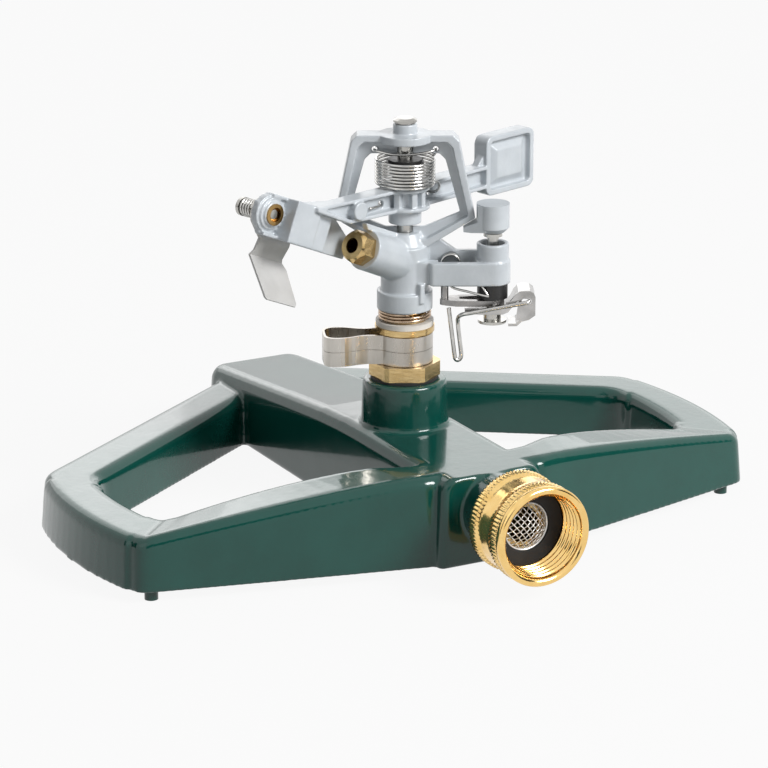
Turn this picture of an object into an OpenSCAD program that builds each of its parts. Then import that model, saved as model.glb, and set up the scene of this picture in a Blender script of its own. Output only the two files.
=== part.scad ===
// Impulse sprinkler: a zinc impulse head on a cast two-wing base with a hose coupling.
// The origin is on the floor, under the centre of the footprint. The coupling faces -Y.

/* [Base] */
// Distance from the riser to the outer corners of a wing, across the base
wing_x = 117; // [108:1:126]
// How far the front wing corners lie in front of the riser
wing_front = 34; // [30:1:38]
// How far the rear wing corners lie behind the riser
wing_rear = 43; // [38:1:48]
// How far a wing's outer side bows out between its corners
wing_bow = 5.5; // [1:0.5:8]
// Height of the wing ends above the floor
wing_h = 22; // [19:0.5:25]
// Width of a wing's side arm
side_arm_w = 16; // [13:0.5:19]
// Width of a wing's rear arm
rear_arm_w = 19; // [15:0.5:22]
// Height of the hub and of the front end of the beam above the floor
hub_h = 35; // [32:0.5:38]
// Height of the rear end of the beam above the floor
beam_rear_h = 25; // [24:0.5:28]
// Half the width of the centre beam
beam_half = 19; // [17:0.5:22]
// How far the beam reaches behind the riser
beam_rear = 117; // [110:1:124]
// How far the hub reaches in front of the riser
hub_front = 62; // [59:0.5:66]
// Radius of the rounded upper edges of the casting
edge_r = 4; // [2:0.5:5]
// How far each outer wall leans out from its top to its bottom
draft = 1.2; // [0.4:0.2:2]
// Thickness of the casting's walls
base_wall = 3.2; // [2.4:0.2:4]
// Radius of the boss under the riser
boss_r = 14.5; // [13.6:0.1:16]
// Height of the top of the boss above the floor
boss_h = 51; // [47:0.5:55]
// Radius of a foot peg
foot_r = 2.3; // [1.8:0.1:3]
// Gap under the casting, which the foot pegs hold open
foot_h = 4; // [3:0.5:6]

/* [Hose coupling] */
// Radius of the coupling nut over its rims
nut_r = 17; // [16.2:0.1:18]
// Length of the coupling nut
nut_len = 22; // [20:0.5:26]
// Radius of the wall of the nut's hose thread
hose_thread_r = 13.2; // [12.8:0.1:13.6]
// Height of the coupling's axis above the floor
inlet_z = 23; // [21:0.5:25]
// Radius of the cast neck behind the nut
neck_r = 12; // [11.5:0.5:14]
// Radius of the water way
water_r = 5.4; // [4.4:0.2:6]
// Thickness of the hose washer
hose_washer_t = 3; // [2.4:0.2:3.6]
// Radius of the dome of the inlet screen
screen_r = 8.4; // [7:0.2:9]

/* [Riser] */
// Width across the flats of the bearing sleeve's hexagon
sleeve_flats = 22; // [21:0.5:24]
// Height of the bearing sleeve's hexagon
sleeve_hex_h = 5; // [4:0.5:7]
// Radius of the sleeve where the collars grip it
sleeve_r = 8.9; // [8.6:0.1:9.4]
// Radius of the male thread of the sleeve, in the boss
sleeve_thread_r = 10.4; // [9.8:0.1:10.8]
// Outer radius of the bearing tube, which turns in the sleeve
tube_r = 7.4; // [7:0.1:7.8]
// Height of one friction collar
collar_h = 5; // [4:0.5:6]
// Thickness of the collars' steel strip
collar_t = 0.75; // [0.5:0.05:1]
// Distance from the riser axis to the tip of a collar's ear
collar_reach = 28; // [26:0.5:30]
// Direction in which the collar ears point
collar_angle = 158; // [140:1:175]

/* [Head] */
// Direction of the head on its riser, against the base
head_angle = -28; // [-60:1:20]
// Radius of the skirt at the foot of the head
skirt_r = 9.5; // [9.2:0.1:10.4]
// Radius of the head's barrel
barrel_r = 8.2; // [7.8:0.1:8.8]
// Height of the seat of the arm pin above the head's skirt
barrel_h = 27; // [25.5:0.5:28.5]
// Rise of the nozzle above the horizontal, in degrees
jet_rise = 23; // [20:1:25]
// Distance from the riser axis to the nozzle's tip, along the jet
nozzle_reach = 27.3; // [26:0.1:29]
// Width across the flats of the nozzle
nozzle_flats = 10.2; // [9.6:0.1:11]
// Radius of the nozzle's jet hole
jet_r = 2.6; // [1.6:0.1:2.8]
// Half the width of the bridge at its lower corners
bridge_low_x = 23.7; // [22.5:0.1:25]
// Half the width of the bridge at its top
bridge_top_x = 18.2; // [17.6:0.1:19]
// Height of the top of the bridge above the head's skirt
bridge_h = 61; // [60:0.5:64]
// Width of the bridge's flange
bridge_w = 8; // [6:0.5:9]
// Thickness of the bridge's flange
bridge_t = 2.3; // [1.8:0.1:2.8]
// Depth of the web inside the bridge's flange
bridge_web = 4.6; // [3:0.2:5]
// Radius of the fulcrum pin
pin_r = 2.6; // [2.2:0.1:2.7]

/* [Impulse arm] */
// Height of the arm's limbs between their flanges' outer faces
limb_h = 8; // [7:0.5:9]
// Width of the flanges of the arm's limbs
limb_w = 8; // [7:0.5:9]
// Thickness of the arm's flanges and webs
limb_t = 1.3; // [1:0.1:1.8]
// Length of the spoon plate along the jet, to its outer end
spoon_end = 68.5; // [66:0.5:70]
// Height of the spoon plate
spoon_w = 14.2; // [13:0.2:15]
// Distance from the jet's axis to the spoon plate's face
spoon_gap = 7.2; // [7:0.1:8]
// Thickness of the spoon plate
spoon_t = 2; // [1.6:0.1:2.4]
// Length of the counterweight paddle
paddle_l = 24; // [20:0.5:26]
// Height of the counterweight paddle
paddle_h = 21; // [16:0.5:22]
// Thickness of the counterweight paddle
paddle_t = 6; // [5:0.5:7]
// Distance from the riser axis to the paddle
paddle_at = 37; // [35:0.5:39]
// Radius of the diffuser screw
screw_r = 1.6; // [1.2:0.1:1.8]
// Thickness of the deflector flap's sheet
flap_t = 0.8; // [0.6:0.1:1.2]
// Length of the flap's lower, bent part
flap_l = 15.7; // [12:0.1:18]

/* [Trip] */
// Distance of the trip shaft from the riser axis
trip_x = 29.7; // [29.4:0.1:31]
// Radius of the trip shaft
shaft_r = 2; // [1.6:0.1:2.2]
// Radius of the trip striker
striker_r = 5.6; // [5:0.1:5.7]
// Height of the trip striker
striker_h = 9.8; // [8:0.1:11]
// Height of the bracket that carries the trip shaft
bracket_h = 8; // [7:0.5:9]
// Radius of the bracket's boss
bracket_r = 5.5; // [5.2:0.1:5.8]
// Diameter of the trip wire
trip_wire_d = 1.5; // [1.2:0.1:1.8]
// Length of the hanging loop of the trip wire
trip_wire_l = 19.5; // [18:0.5:20.5]

/* [Springs] */
// Wire diameter of the arm's torsion spring
arm_wire_d = 0.8; // [0.6:0.05:0.8]
// Turns of the arm's torsion spring
arm_turns = 8; // [6:1:8]
// Outer radius of the arm's torsion spring
arm_spring_r = 10.3; // [9.6:0.1:10.6]
// Wire diameter of the riser's bearing spring
riser_wire_d = 1; // [0.7:0.05:1]
// Wire diameter of the diffuser screw's spring
screw_wire_d = 0.8; // [0.6:0.05:0.85]

/* [Fits] */
// Radial clearance of turning and sliding fits
run_gap = 0.05; // [0.03:0.01:0.08]
// Clearance between faces that pass each other
face_gap = 0.15; // [0.1:0.05:0.3]
// Clearance round a part that is fixed in another
press_gap = 0.02; // [0.01:0.01:0.03]

/* [Hidden] */
$fn = 96;
eps = 0.01;

// Colours
green = [0.03, 0.2, 0.17];
black = [0.06, 0.06, 0.07];
brass = [0.78, 0.6, 0.27];
steel = [0.72, 0.71, 0.69];
bronze = [0.5, 0.36, 0.2];
zinc = [0.66, 0.69, 0.71];
white = [0.9, 0.88, 0.85];

// Levels and places that follow from the sizes above
neck_len = 11.5;
nut_back = hub_front + neck_len;
nut_front = nut_back + nut_len;
riser_y = (nut_front - beam_rear) / 2;
gasket_t = 1;
gasket_r = 11.6;
hex_z = boss_h + gasket_t;
collar_z1 = hex_z + sleeve_hex_h + face_gap;
collar_z2 = collar_z1 + collar_h + face_gap;
ring_z = collar_z2 + collar_h + 4 * face_gap;
ring_h = 1.95;
ring_r = 10.2;
washer_z = ring_z + ring_h;
washer_h = 1.8;
spring_z = washer_z + washer_h;
riser_spring_h = 4;
skirt_z = spring_z + riser_spring_h;
skirt_h = 6.5;
barrel_top = skirt_z + 22.5;
seat_z = skirt_z + barrel_h;
jet_z = skirt_z + 16.1;
bridge_z = skirt_z + bridge_h;
bridge_low_z = skirt_z + 32.4;
limb_top = skirt_z + 43.1;
limb_low = limb_top - limb_h;
sleeve_thread_l = 13;
foot_x = wing_x - 6.5;
foot_front = wing_front - 3.5;
foot_rear = wing_rear - 4.5;
function unit(v) = v / norm(v);
function mix(a, b, t) = a + (b - a) * t;
function clamp(v) = min(1, max(0, v));
function joined(lists) = [for (list = lists) each list];

// A curve from a to c that is pulled towards b, without its last point
function bend(a, b, c, n) =
    [for (i = [0 : n - 1]) let (t = i / n) mix(mix(a, b, t), mix(b, c, t), t)];

// A rounded corner at b between the sides towards a and c
function corner(a, b, c, r, n) =
    let (from = b + unit(a - b) * r, to = b + unit(c - b) * r)
    [for (i = [0 : n]) let (t = i / n) mix(mix(from, b, t), mix(b, to, t), t)];

// Points inside the side from a to b, bowed out by h
function bowed(a, b, h, n) =
    let (out = unit([(b - a)[1], -(b - a)[0]]))
    [for (i = [1 : n]) let (t = i / (n + 1)) mix(a, b, t) + out * h * 4 * t * (1 - t)];

// A solid through rings of points with the same count, each clockwise seen from the first ring's side
module loft(rings) {
    n = len(rings);
    m = len(rings[0]);
    sides = [for (i = [0 : n - 2], j = [0 : m - 1])
        let (a = i * m + j, b = i * m + (j + 1) % m)
        each [[a, a + m, b + m], [a, b + m, b]]];
    polyhedron(
        joined(rings),
        concat([[for (j = [0 : m - 1]) j]], sides, [[for (j = [m - 1 : -1 : 0]) (n - 1) * m + j]]),
        convexity = 8
    );
}

// A tube of diameter d swept along points, with straight mitres
module wire(points, d, sides = 6) {
    n = len(points);
    dirs = [for (i = [0 : n - 1]) unit(points[min(i + 1, n - 1)] - points[max(i - 1, 0)])];
    rings = [for (i = [0 : n - 1])
        let (
            up = abs(dirs[i][2]) < 0.9 ? [0, 0, 1] : unit([points[i][0], points[i][1], 0] + [eps, 0, 0]),
            across = unit(cross(dirs[i], up)),
            over = cross(across, dirs[i])
        )
        [for (j = [0 : sides - 1])
            points[i] + d / 2 * (cos(j * 360 / sides) * across - sin(j * 360 / sides) * over)]];
    loft(rings);
}

// Points of a coil round Z: r to the wire's middle, from angle a0, left-hand where hand is -1
function coil(r, turns, pitch, z0, a0, per_turn = 8, hand = 1) =
    [for (i = [0 : round(turns * per_turn)])
        let (a = a0 + hand * i * 360 / per_turn)
        [r * cos(a), r * sin(a), z0 + pitch * i / per_turn]];

module tube(r, hole, z0, z1) {
    translate([0, 0, z0])
        difference() {
            cylinder(h = z1 - z0, r = r);
            translate([0, 0, -eps]) cylinder(h = z1 - z0 + 2 * eps, r = hole);
        }
}

// A flat outline in x and z, as thick as t about the plane y = 0
module upright(t) {
    rotate([90, 0, 0]) linear_extrude(t, center = true) children();
}

module rounded_rect(size, r) {
    square([size[0] - 2 * r, size[1]], center = true);
    square([size[0], size[1] - 2 * r], center = true);
    for (x = [-1, 1], y = [-1, 1])
        translate([x * (size[0] / 2 - r), y * (size[1] / 2 - r)]) circle(r);
}

// Frames of reference
module at_riser() {
    translate([0, riser_y, 0]) children();
}

module at_head() {
    at_riser() rotate([0, 0, head_angle]) children();
}

// x runs outward along the jet, y to the arm's open side
jet_turn = 225;
module at_jet() {
    at_head() rotate([0, 0, jet_turn]) children();
}

// As at_jet, with x along the rising jet and z square to it
module at_spoon() {
    at_jet() translate([0, 0, jet_z]) rotate([0, -jet_rise, 0]) children();
}

trip_y = -3;
module at_trip() {
    at_head() translate([trip_x, trip_y, 0]) children();
}

// Coupling: z runs from the riser towards the hose
module at_inlet() {
    translate([0, riser_y, inlet_z]) rotate([90, 0, 0]) children();
}

// Outline of one wing: the outer and inner sides, as matching lists of stations
hub_x = 22.5;
hub_corner_y = 57;
function wing_outer() =
    let (
        start = [beam_half - 8, -hub_corner_y],
        turn = [hub_x, -hub_corner_y],
        front = [wing_x, -wing_front],
        rear = [wing_x + 0.5, wing_rear],
        finish = [beam_half - 8, beam_rear - 2]
    )
    concat(
        [start, turn],
        [for (t = [0.2 : 0.2 : 0.8]) mix(turn, front, t)],
        corner(turn, front, rear, 5, 3),
        bowed(front, rear, wing_bow, 4),
        corner(front, rear, finish, 5, 3),
        [for (t = [0.25 : 0.25 : 1]) mix(rear, finish, t)]
    );

function wing_inner() =
    let (
        start = [beam_half - 8, -41],
        turn = [beam_half + 4, -39.5],
        front = [wing_x - side_arm_w, -wing_front + 16],
        rear = [wing_x - side_arm_w + 2.5, wing_rear - 14],
        along = unit([wing_x + 0.5, wing_rear] - [beam_half - 8, beam_rear - 2]),
        finish = [beam_half - 8, beam_rear - 2] + [-along[1], along[0]] * -rear_arm_w - along * 3
    )
    concat(
        [start, turn],
        bend(mix(turn, [60, -22], 0.3), [60, -22], mix(front, [60, -22], 0.2), 4),
        corner([60, -22], front, rear, 7, 3),
        bowed(front, rear, wing_bow / 3, 4),
        corner(front, rear, finish, 8, 3),
        [for (t = [0.25 : 0.25 : 1]) mix(rear, finish, t)]
    );

// Height of the wing's top over a station of its outer side
function wing_top(p) =
    p[1] > -wing_front ? wing_h
        : hub_h - 0.3 - (hub_h - 0.3 - wing_h) * pow(clamp((abs(p[0]) - hub_x) / (wing_x - hub_x)), 1.3);

// Section of a casting wall with rounded upper edges, from the point o to the point i
function section(o, i, low, top, r, lean) =
    let (e = unit(i - o), w = norm(i - o), s = r * sqrt(0.5))
    [for (q = [
        [-lean, low], [0, top - r], [r - s, top - r + s], [r, top],
        [w - r, top], [w - r + s, top - r + s], [w, top - r], [w + lean, low]
    ]) [o[0] + e[0] * q[0], o[1] + e[1] * q[0], q[1]]];

// One wing, or with inset the hollow inside it
module wing(inset = 0) {
    outer = wing_outer();
    inner = wing_inner();
    loft([for (k = [len(outer) - 1 : -1 : 0])
        let (
            e = unit(inner[k] - outer[k]),
            low = foot_h + (inset > 0 ? -0.9 : 0.1),
            r = max(0.5, edge_r - inset)
        )
        section(outer[k] + e * inset, inner[k] - e * inset, low, wing_top(outer[k]) - inset, r, draft)]);
}

// The centre beam, or with inset the hollow inside it
beam_stations = [[-1, 0], [-0.5, 0], [0, 0], [0.15, 0], [0.5, 0.42], [0.9, 0.9], [1, 1]];
module beam(inset = 0) {
    loft([for (s = beam_stations)
        let (
            y = s[0] < 0 ? s[0] * (hub_front - inset) : s[0] * (beam_rear - inset),
            top = mix(hub_h, beam_rear_h, s[1]) - inset,
            half = beam_half - inset - (s[0] == 1 ? 2 : 0) - (s[0] == -1 ? 1.5 : 0),
            low = inset > 0 ? foot_h - 1 : foot_h
        )
        section([-half, y], [half, y], low, top, max(0.5, edge_r + 1 - inset), draft)]);
}

module base_casting() {
    foot_spots = [for (x = [-1, 1], y = [-foot_front, foot_rear]) [x * foot_x, y]];
    foot_boss_r = foot_r + 2.2;
    color(green)
    at_riser()
    difference() {
        union() {
            difference() {
                union() {
                    beam();
                    wing();
                    mirror([1, 0, 0]) wing();
                }
                beam(base_wall);
                wing(base_wall);
                mirror([1, 0, 0]) wing(base_wall);
            }
            translate([0, 0, inlet_z - water_r - base_wall])
                cylinder(h = boss_h - inlet_z + water_r + base_wall, r1 = boss_r + 1.4, r2 = boss_r - 0.2);
            intersection() {
                translate([0, 0, inlet_z]) rotate([90, 0, 0])
                    cylinder(h = hub_front + neck_len - face_gap - 1.5, r = neck_r);
                translate([-neck_r, -nut_back, 0]) cube([2 * neck_r, nut_back, hub_h - 0.5]);
            }
            for (p = foot_spots)
                translate([p[0], p[1], foot_h]) cylinder(h = wing_h - foot_h - 1, r = foot_boss_r);
        }
        translate([0, 0, tube_low - 0.5])
            cylinder(h = boss_h - tube_low + 1, r = sleeve_thread_r + run_gap);
        translate([0, 0, inlet_z]) cylinder(h = boss_h - inlet_z, r = water_r - 0.6);
        translate([0, water_r, inlet_z]) rotate([90, 0, 0]) cylinder(h = hub_front + water_r, r = water_r);
        translate([0, -hub_front + 6, inlet_z]) rotate([90, 0, 0])
            cylinder(h = neck_len + 10, r = nipple_r);
        for (p = foot_spots)
            translate([p[0], p[1], foot_h - 1]) cylinder(h = foot_pin_l + 1, r = foot_r - 0.6);
    }
}

foot_pin_l = 8;
module base_feet() {
    color(black)
    at_riser()
    for (x = [-1, 1], y = [-foot_front, foot_rear])
        translate([x * foot_x, y, 0]) {
            cylinder(h = foot_h, r = foot_r);
            cylinder(h = foot_h + foot_pin_l - 0.2, r = foot_r - 0.6);
        }
}

// Hose coupling, from the neck outward
nipple_r = 8.4;
nut_wall_t = 4.4;
nipple_flange_t = 2.8;
flange_at = nut_back + nut_wall_t + face_gap;
washer_at = flange_at + nipple_flange_t;
module inlet_nipple() {
    color(brass)
    at_inlet()
    difference() {
        union() {
            translate([0, 0, hub_front - 5.8]) cylinder(h = washer_at - hub_front + 5.8, r = nipple_r);
            translate([0, 0, flange_at]) cylinder(h = nipple_flange_t, r = hose_thread_r - 1.4);
        }
        translate([0, 0, hub_front - 7]) cylinder(h = nut_len + neck_len + 7, r = water_r + 0.6);
    }
}

// A ring with fine teeth, for a grip
module knurled(r, depth, teeth, h) {
    linear_extrude(h)
        polygon([for (i = [0 : 2 * teeth - 1])
            let (a = i * 180 / teeth, q = i % 2 == 0 ? r : r - depth)
            q * [cos(a), sin(a)]]);
}

module coupling_nut() {
    knurl_back = 5;
    knurl_front = 3.6;
    rim = 3;
    relief_end = washer_at + hose_washer_t + 2.5 - nut_back;
    color(brass)
    at_inlet()
    translate([0, 0, nut_back])
    difference() {
        union() {
            translate([0, 0, 0.8]) knurled(nut_r, 0.5, 60, knurl_back);
            cylinder(h = nut_len - rim, r = nut_r - 0.8);
            translate([0, 0, nut_len - rim - knurl_front]) knurled(nut_r, 0.5, 60, knurl_front);
            translate([0, 0, nut_len - rim]) cylinder(h = rim, r = nut_r - 0.2);
        }
        translate([0, 0, -eps]) cylinder(h = nut_wall_t + 1, r = nipple_r + run_gap);
        translate([0, 0, nut_wall_t]) cylinder(h = relief_end - nut_wall_t, r = hose_thread_r + 0.4);
        translate([0, 0, relief_end - 1]) cylinder(h = nut_len, r = hose_thread_r);
        translate([0, 0, nut_len - 1]) cylinder(h = 1 + eps, r1 = hose_thread_r, r2 = hose_thread_r + 1);
    }
}

module inlet_washer() {
    color(black)
    at_inlet() tube(hose_thread_r - run_gap, screen_r, washer_at + face_gap, washer_at + hose_washer_t);
}

// The dome of woven wire: a shell of which only a grid of bars is left
module inlet_screen() {
    bars = 7;
    bar_w = 0.7;
    dome_rise = 4.5;
    dome_t = 0.7;
    ball_r = (screen_r * screen_r + dome_rise * dome_rise) / (2 * dome_rise);
    step = 2 * screen_r / (bars + 1);
    color(steel)
    at_inlet()
    translate([0, 0, washer_at + face_gap + 0.3]) {
        tube(screen_r, screen_r - 1, 0, hose_washer_t - 1);
        intersection() {
            translate([0, 0, dome_rise - ball_r])
                difference() {
                    sphere(ball_r, $fn = 60);
                    sphere(ball_r - dome_t, $fn = 60);
                }
            cylinder(h = dome_rise + 1, r = screen_r - 0.2);
            union() {
                for (i = [1 : bars]) {
                    translate([-screen_r, i * step - screen_r - bar_w / 2, 0])
                        cube([2 * screen_r, bar_w, dome_rise + 1]);
                    translate([i * step - screen_r - bar_w / 2, -screen_r, 0])
                        cube([bar_w, 2 * screen_r, dome_rise + 1]);
                }
            }
        }
    }
}

// Riser bearing, from the boss upward
module sleeve_gasket() {
    color(black) at_riser() tube(gasket_r, sleeve_thread_r + 0.1, boss_h, hex_z);
}

module bearing_sleeve() {
    thread_z = boss_h - sleeve_thread_l;
    color(brass)
    at_riser()
    difference() {
        union() {
            translate([0, 0, thread_z]) cylinder(h = sleeve_thread_l + gasket_t, r = sleeve_thread_r);
            intersection() {
                translate([0, 0, hex_z]) rotate([0, 0, head_angle])
                    cylinder(h = sleeve_hex_h, r = sleeve_flats / sqrt(3), $fn = 6);
                translate([0, 0, hex_z]) cylinder(h = sleeve_hex_h, r = sleeve_flats / sqrt(3) - 0.5);
            }
            translate([0, 0, hex_z]) cylinder(h = ring_z - hex_z + 1, r = sleeve_r);
            translate([0, 0, ring_z]) cylinder(h = ring_h, r = ring_r);
        }
        translate([0, 0, thread_z - eps]) cylinder(h = washer_z - thread_z + 1, r = tube_r + run_gap);
    }
}

ear_w = 13.8;
neck_w = 8.8;
module collar(z) {
    inner = sleeve_r + run_gap;
    color(steel)
    at_riser()
    rotate([0, 0, collar_angle])
    translate([0, 0, z])
    linear_extrude(collar_h)
    difference() {
        keyhole(inner + collar_t, 0);
        keyhole(inner, collar_t);
    }
}

// Outline of a collar: a circle with a rounded ear, inset by d
module keyhole(r, d) {
    tip = collar_reach - d;
    neck = neck_w / 2 - d;
    ear = ear_w / 2 - d;
    neck_x = 13.2;
    ear_x = tip - 4;
    side = concat(
        [[0, neck]],
        bend([5.5, neck + 2.5], [9.5, neck - 0.1], [neck_x, neck], 5),
        bend([neck_x, neck], [neck_x + 3, neck + 0.3], [mix(neck_x, ear_x, 0.5), mix(neck, ear, 0.6)], 4),
        bend([mix(neck_x, ear_x, 0.5), mix(neck, ear, 0.6)], [ear_x - 3, ear], [ear_x, ear], 4),
        bend([ear_x, ear], [tip, ear - 0.2], [tip, ear - 4], 6),
        [[tip, ear - 4]]
    );
    circle(r);
    polygon(concat(side, [for (i = [len(side) - 1 : -1 : 0]) [side[i][0], -side[i][1]]]));
}

module lower_collar() {
    collar(collar_z1);
}

module upper_collar() {
    collar(collar_z2);
}

tube_bore = water_r;
tube_flange_t = 2.2;
thrust_t = 1.6;
tube_low = boss_h - sleeve_thread_l - thrust_t - tube_flange_t;
module bearing_tube() {
    color(brass)
    at_head()
    difference() {
        union() {
            translate([0, 0, tube_low]) cylinder(h = skirt_z + skirt_h + 3 - tube_low, r = tube_r);
            translate([0, 0, tube_low]) cylinder(h = tube_flange_t, r = sleeve_thread_r - 0.6);
        }
        translate([0, 0, tube_low - eps]) cylinder(h = skirt_z + skirt_h + 5 - tube_low, r = tube_bore);
    }
}

module thrust_washers() {
    low = tube_low + tube_flange_t;
    color(white)
    at_head()
    for (i = [0, 1])
        tube(sleeve_thread_r - 0.6, tube_r + run_gap, low + i * thrust_t / 2,
            low + (i + 1) * thrust_t / 2 - 0.05);
}

module riser_washer() {
    color(white) at_head() tube(ring_r - 0.3, tube_r + run_gap, washer_z + 0.05, spring_z);
}

// The least clear gap of a coil to itself, over points at least skip apart along it
function least_gap(points, d, skip) =
    min([for (i = [0 : len(points) - 1 - skip], j = [i + skip : len(points) - 1]) norm(points[i] - points[j])]) - d;

riser_turns = 2;
riser_coil_z = spring_z + riser_wire_d / 2 + 0.05;
riser_pitch = (skirt_z - spring_z - riser_wire_d - 0.1) / riser_turns;
module riser_spring() {
    path = coil(skirt_r - 0.3 - riser_wire_d / 2, riser_turns, riser_pitch, riser_coil_z, 60, 16);
    echo("riser spring, least gap to itself", least_gap(path, riser_wire_d, 10));
    color(bronze)
    at_head() wire(path, riser_wire_d);
}

// The bridge's outline at depth d inside its outer edge, with the share k of d at its sides
function bridge_outline(d, k = 1) =
    let (
        top = bridge_z - d,
        low_in = 8 - d * k * 0.3,
        low_z = barrel_top + d * (0.5 + k * 0.6),
        x_top = bridge_top_x - d * k,
        x_low = bridge_low_x - d * (k + 0.07),
        z_low = bridge_low_z + d * k * 0.3
    )
    [
        [-x_top + 2, top], [-x_top, top - 2], [-x_low, z_low], [-low_in, low_z],
        [low_in, low_z], [x_low, z_low], [x_top, top - 2], [x_top - 2, top]
    ];

web_share = 0.67;
module bridge() {
    difference() {
        union() {
            upright(bridge_w)
                difference() {
                    polygon(bridge_outline(0));
                    polygon(bridge_outline(bridge_t));
                }
            upright(2)
                difference() {
                    polygon(bridge_outline(bridge_t / 2));
                    polygon(bridge_outline(bridge_t + bridge_web, web_share));
                }
            translate([0, 0, bridge_z - bridge_t - 0.4]) cylinder(h = bridge_t + 0.4, r = 9.2);
            translate([0, 0, bridge_z - bridge_t - 1.2]) cylinder(h = bridge_t + 4.6, r = 4.1);
        }
        for (x = [-1, 1])
            translate([x * spring_hole_x, 0, spring_hole_z]) rotate([90, 0, 0])
                cylinder(h = bridge_w, r = 1, center = true);
    }
}

branch_l = 21.2;
branch_r = 7;
module branch() {
    translate([0, 0, jet_z]) rotate([0, 90 - jet_rise, 0])
        cylinder(h = branch_l, r1 = branch_r + 0.5, r2 = branch_r);
}

// A place in the upright plane of the jet: a along the jet, b above it
function on_jet(a, b) =
    [a * cos(jet_rise) - b * sin(jet_rise), jet_z + a * sin(jet_rise) + b * cos(jet_rise)];

// The web on top of the branch, in the plane of the jet, with a tip over the nozzle
module branch_fin() {
    over = nozzle_flats / sqrt(3) + 0.6;
    upright(2.6)
        polygon([
            on_jet(branch_l + 3.6, over + 2), [2, seat_z - 0.8], [2, jet_z],
            on_jet(branch_l - 2, 0), on_jet(branch_l - 0.3, over), on_jet(branch_l + 2, over)
        ]);
}

// The forked bracket that carries the trip shaft, in the head's frame
bracket_z = skirt_z + 9.8;
bracket_boss_h = 14;
module bracket() {
    arm_t = 3;
    band_r = bracket_r + 0.6;
    near_y = trip_y - band_r;
    far_y = trip_y + bracket_r - 0.4 - arm_t;
    near_x = 8.2;
    translate([near_x + 1.2, near_y, bracket_z]) cube([trip_x - near_x - 1.2, arm_t, bracket_h]);
    translate([near_x + 1.5, near_y + 1.51, bracket_z]) cylinder(h = bracket_h, r = 1.5);
    translate([2, near_y + 1.8, bracket_z]) cube([near_x + 1, arm_t + 1, bracket_h]);
    translate([trip_x, trip_y, bracket_z]) cylinder(h = bracket_h, r = band_r - 0.02);
    upright_at(far_y + arm_t / 2, arm_t)
        polygon([
            [2, bracket_z], [trip_x, bracket_z], [trip_x, bracket_z + bracket_h + 2.4],
            [17.5, bracket_z + bracket_h + 2.4], [11, bracket_z + bracket_boss_h + 1], [2, bracket_z + bracket_boss_h + 1]
        ]);
    translate([trip_x, trip_y, bracket_z]) cylinder(h = bracket_boss_h, r = bracket_r);
}

module upright_at(y, t) {
    translate([0, y, 0]) upright(t) children();
}

module head_body() {
    color(zinc)
    difference() {
        union() {
            at_head() {
                translate([0, 0, skirt_z]) cylinder(h = skirt_h, r = skirt_r);
                translate([0, 0, skirt_z]) cylinder(h = barrel_top - skirt_z, r = barrel_r);
                translate([0, 0, barrel_top - eps])
                    cylinder(h = seat_z - barrel_top + eps, r1 = barrel_r - 0.6, r2 = 5.3);
                rotate([0, 0, -54]) translate([skirt_r - 2, -1, skirt_z + 3.4]) cube([2.8, 2, 7]);
                bridge();
                bracket();
            }
            at_jet() {
                branch();
                branch_fin();
            }
        }
        at_head() {
            translate([0, 0, skirt_z - eps]) cylinder(h = skirt_h + 3.1, r = tube_r + press_gap);
            translate([0, 0, skirt_z]) cylinder(h = jet_z - skirt_z + 3, r = water_r);
            translate([0, 0, seat_z - pin_seat - 0.1]) cylinder(h = 80, r = pin_r + press_gap);
            translate([trip_x, trip_y, bracket_z - 1])
                cylinder(h = bracket_boss_h + 2, r = bushing_r + press_gap);
        }
        at_jet() translate([0, 0, jet_z]) rotate([0, 90 - jet_rise, 0])
            cylinder(h = branch_l + 5, r = nozzle_spigot_r + press_gap);
    }
}

nozzle_spigot_r = 4.6;
module nozzle() {
    hex_l = nozzle_reach - branch_l;
    tip_r = nozzle_flats / sqrt(3);
    color(brass)
    at_jet()
    translate([0, 0, jet_z])
    rotate([0, 90 - jet_rise, 0])
    difference() {
        union() {
            translate([0, 0, branch_l - 6]) cylinder(h = 7, r = nozzle_spigot_r);
            translate([0, 0, branch_l + press_gap]) intersection() {
                rotate([0, 0, 12]) cylinder(h = hex_l, r = tip_r, $fn = 6);
                union() {
                    cylinder(h = hex_l - 1.4, r = tip_r - 0.15);
                    translate([0, 0, hex_l - 1.4]) cylinder(h = 1.4, r1 = tip_r - 0.15, r2 = tip_r - 1.3);
                }
            }
        }
        translate([0, 0, branch_l - 8]) cylinder(h = hex_l + 10, r = jet_r);
        translate([0, 0, branch_l - 8]) cylinder(h = 6, r1 = 3.6, r2 = jet_r);
    }
}

// Fulcrum pin, with its head on the bridge
pin_seat = 5;
pin_head_h = 1.9;
module fulcrum_pin() {
    low = seat_z - pin_seat;
    head_z = bridge_z + 3.4 + press_gap;
    color(steel)
    at_head() {
        translate([0, 0, low]) cylinder(h = head_z - low + pin_head_h - 0.2, r = pin_r);
        translate([0, 0, head_z]) cylinder(h = 0.7, r = 3);
        translate([0, 0, head_z + 0.6]) cylinder(h = 0.7, r = 4);
        translate([0, 0, head_z + 1.3]) cylinder(h = pin_head_h - 1.3, r1 = 4, r2 = 2.8);
    }
}

// The arm's torsion spring, from the arm's upper disc towards the bridge
arm_coil_r = arm_spring_r - arm_wire_d / 2;
arm_coil_low = limb_top + arm_wire_d / 2 + face_gap;
arm_coil_high = bridge_z - bridge_t - bridge_web - arm_wire_d / 2 - 0.9;
arm_pitch = (arm_coil_high - arm_coil_low) / arm_turns;
spring_hole_x = 10.3;
spring_hole_z = bridge_z - 5.4;
arm_coil_from = 12;
tail_hole_x = 11.7;
tail_hole_z = limb_top - 4.6;
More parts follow.
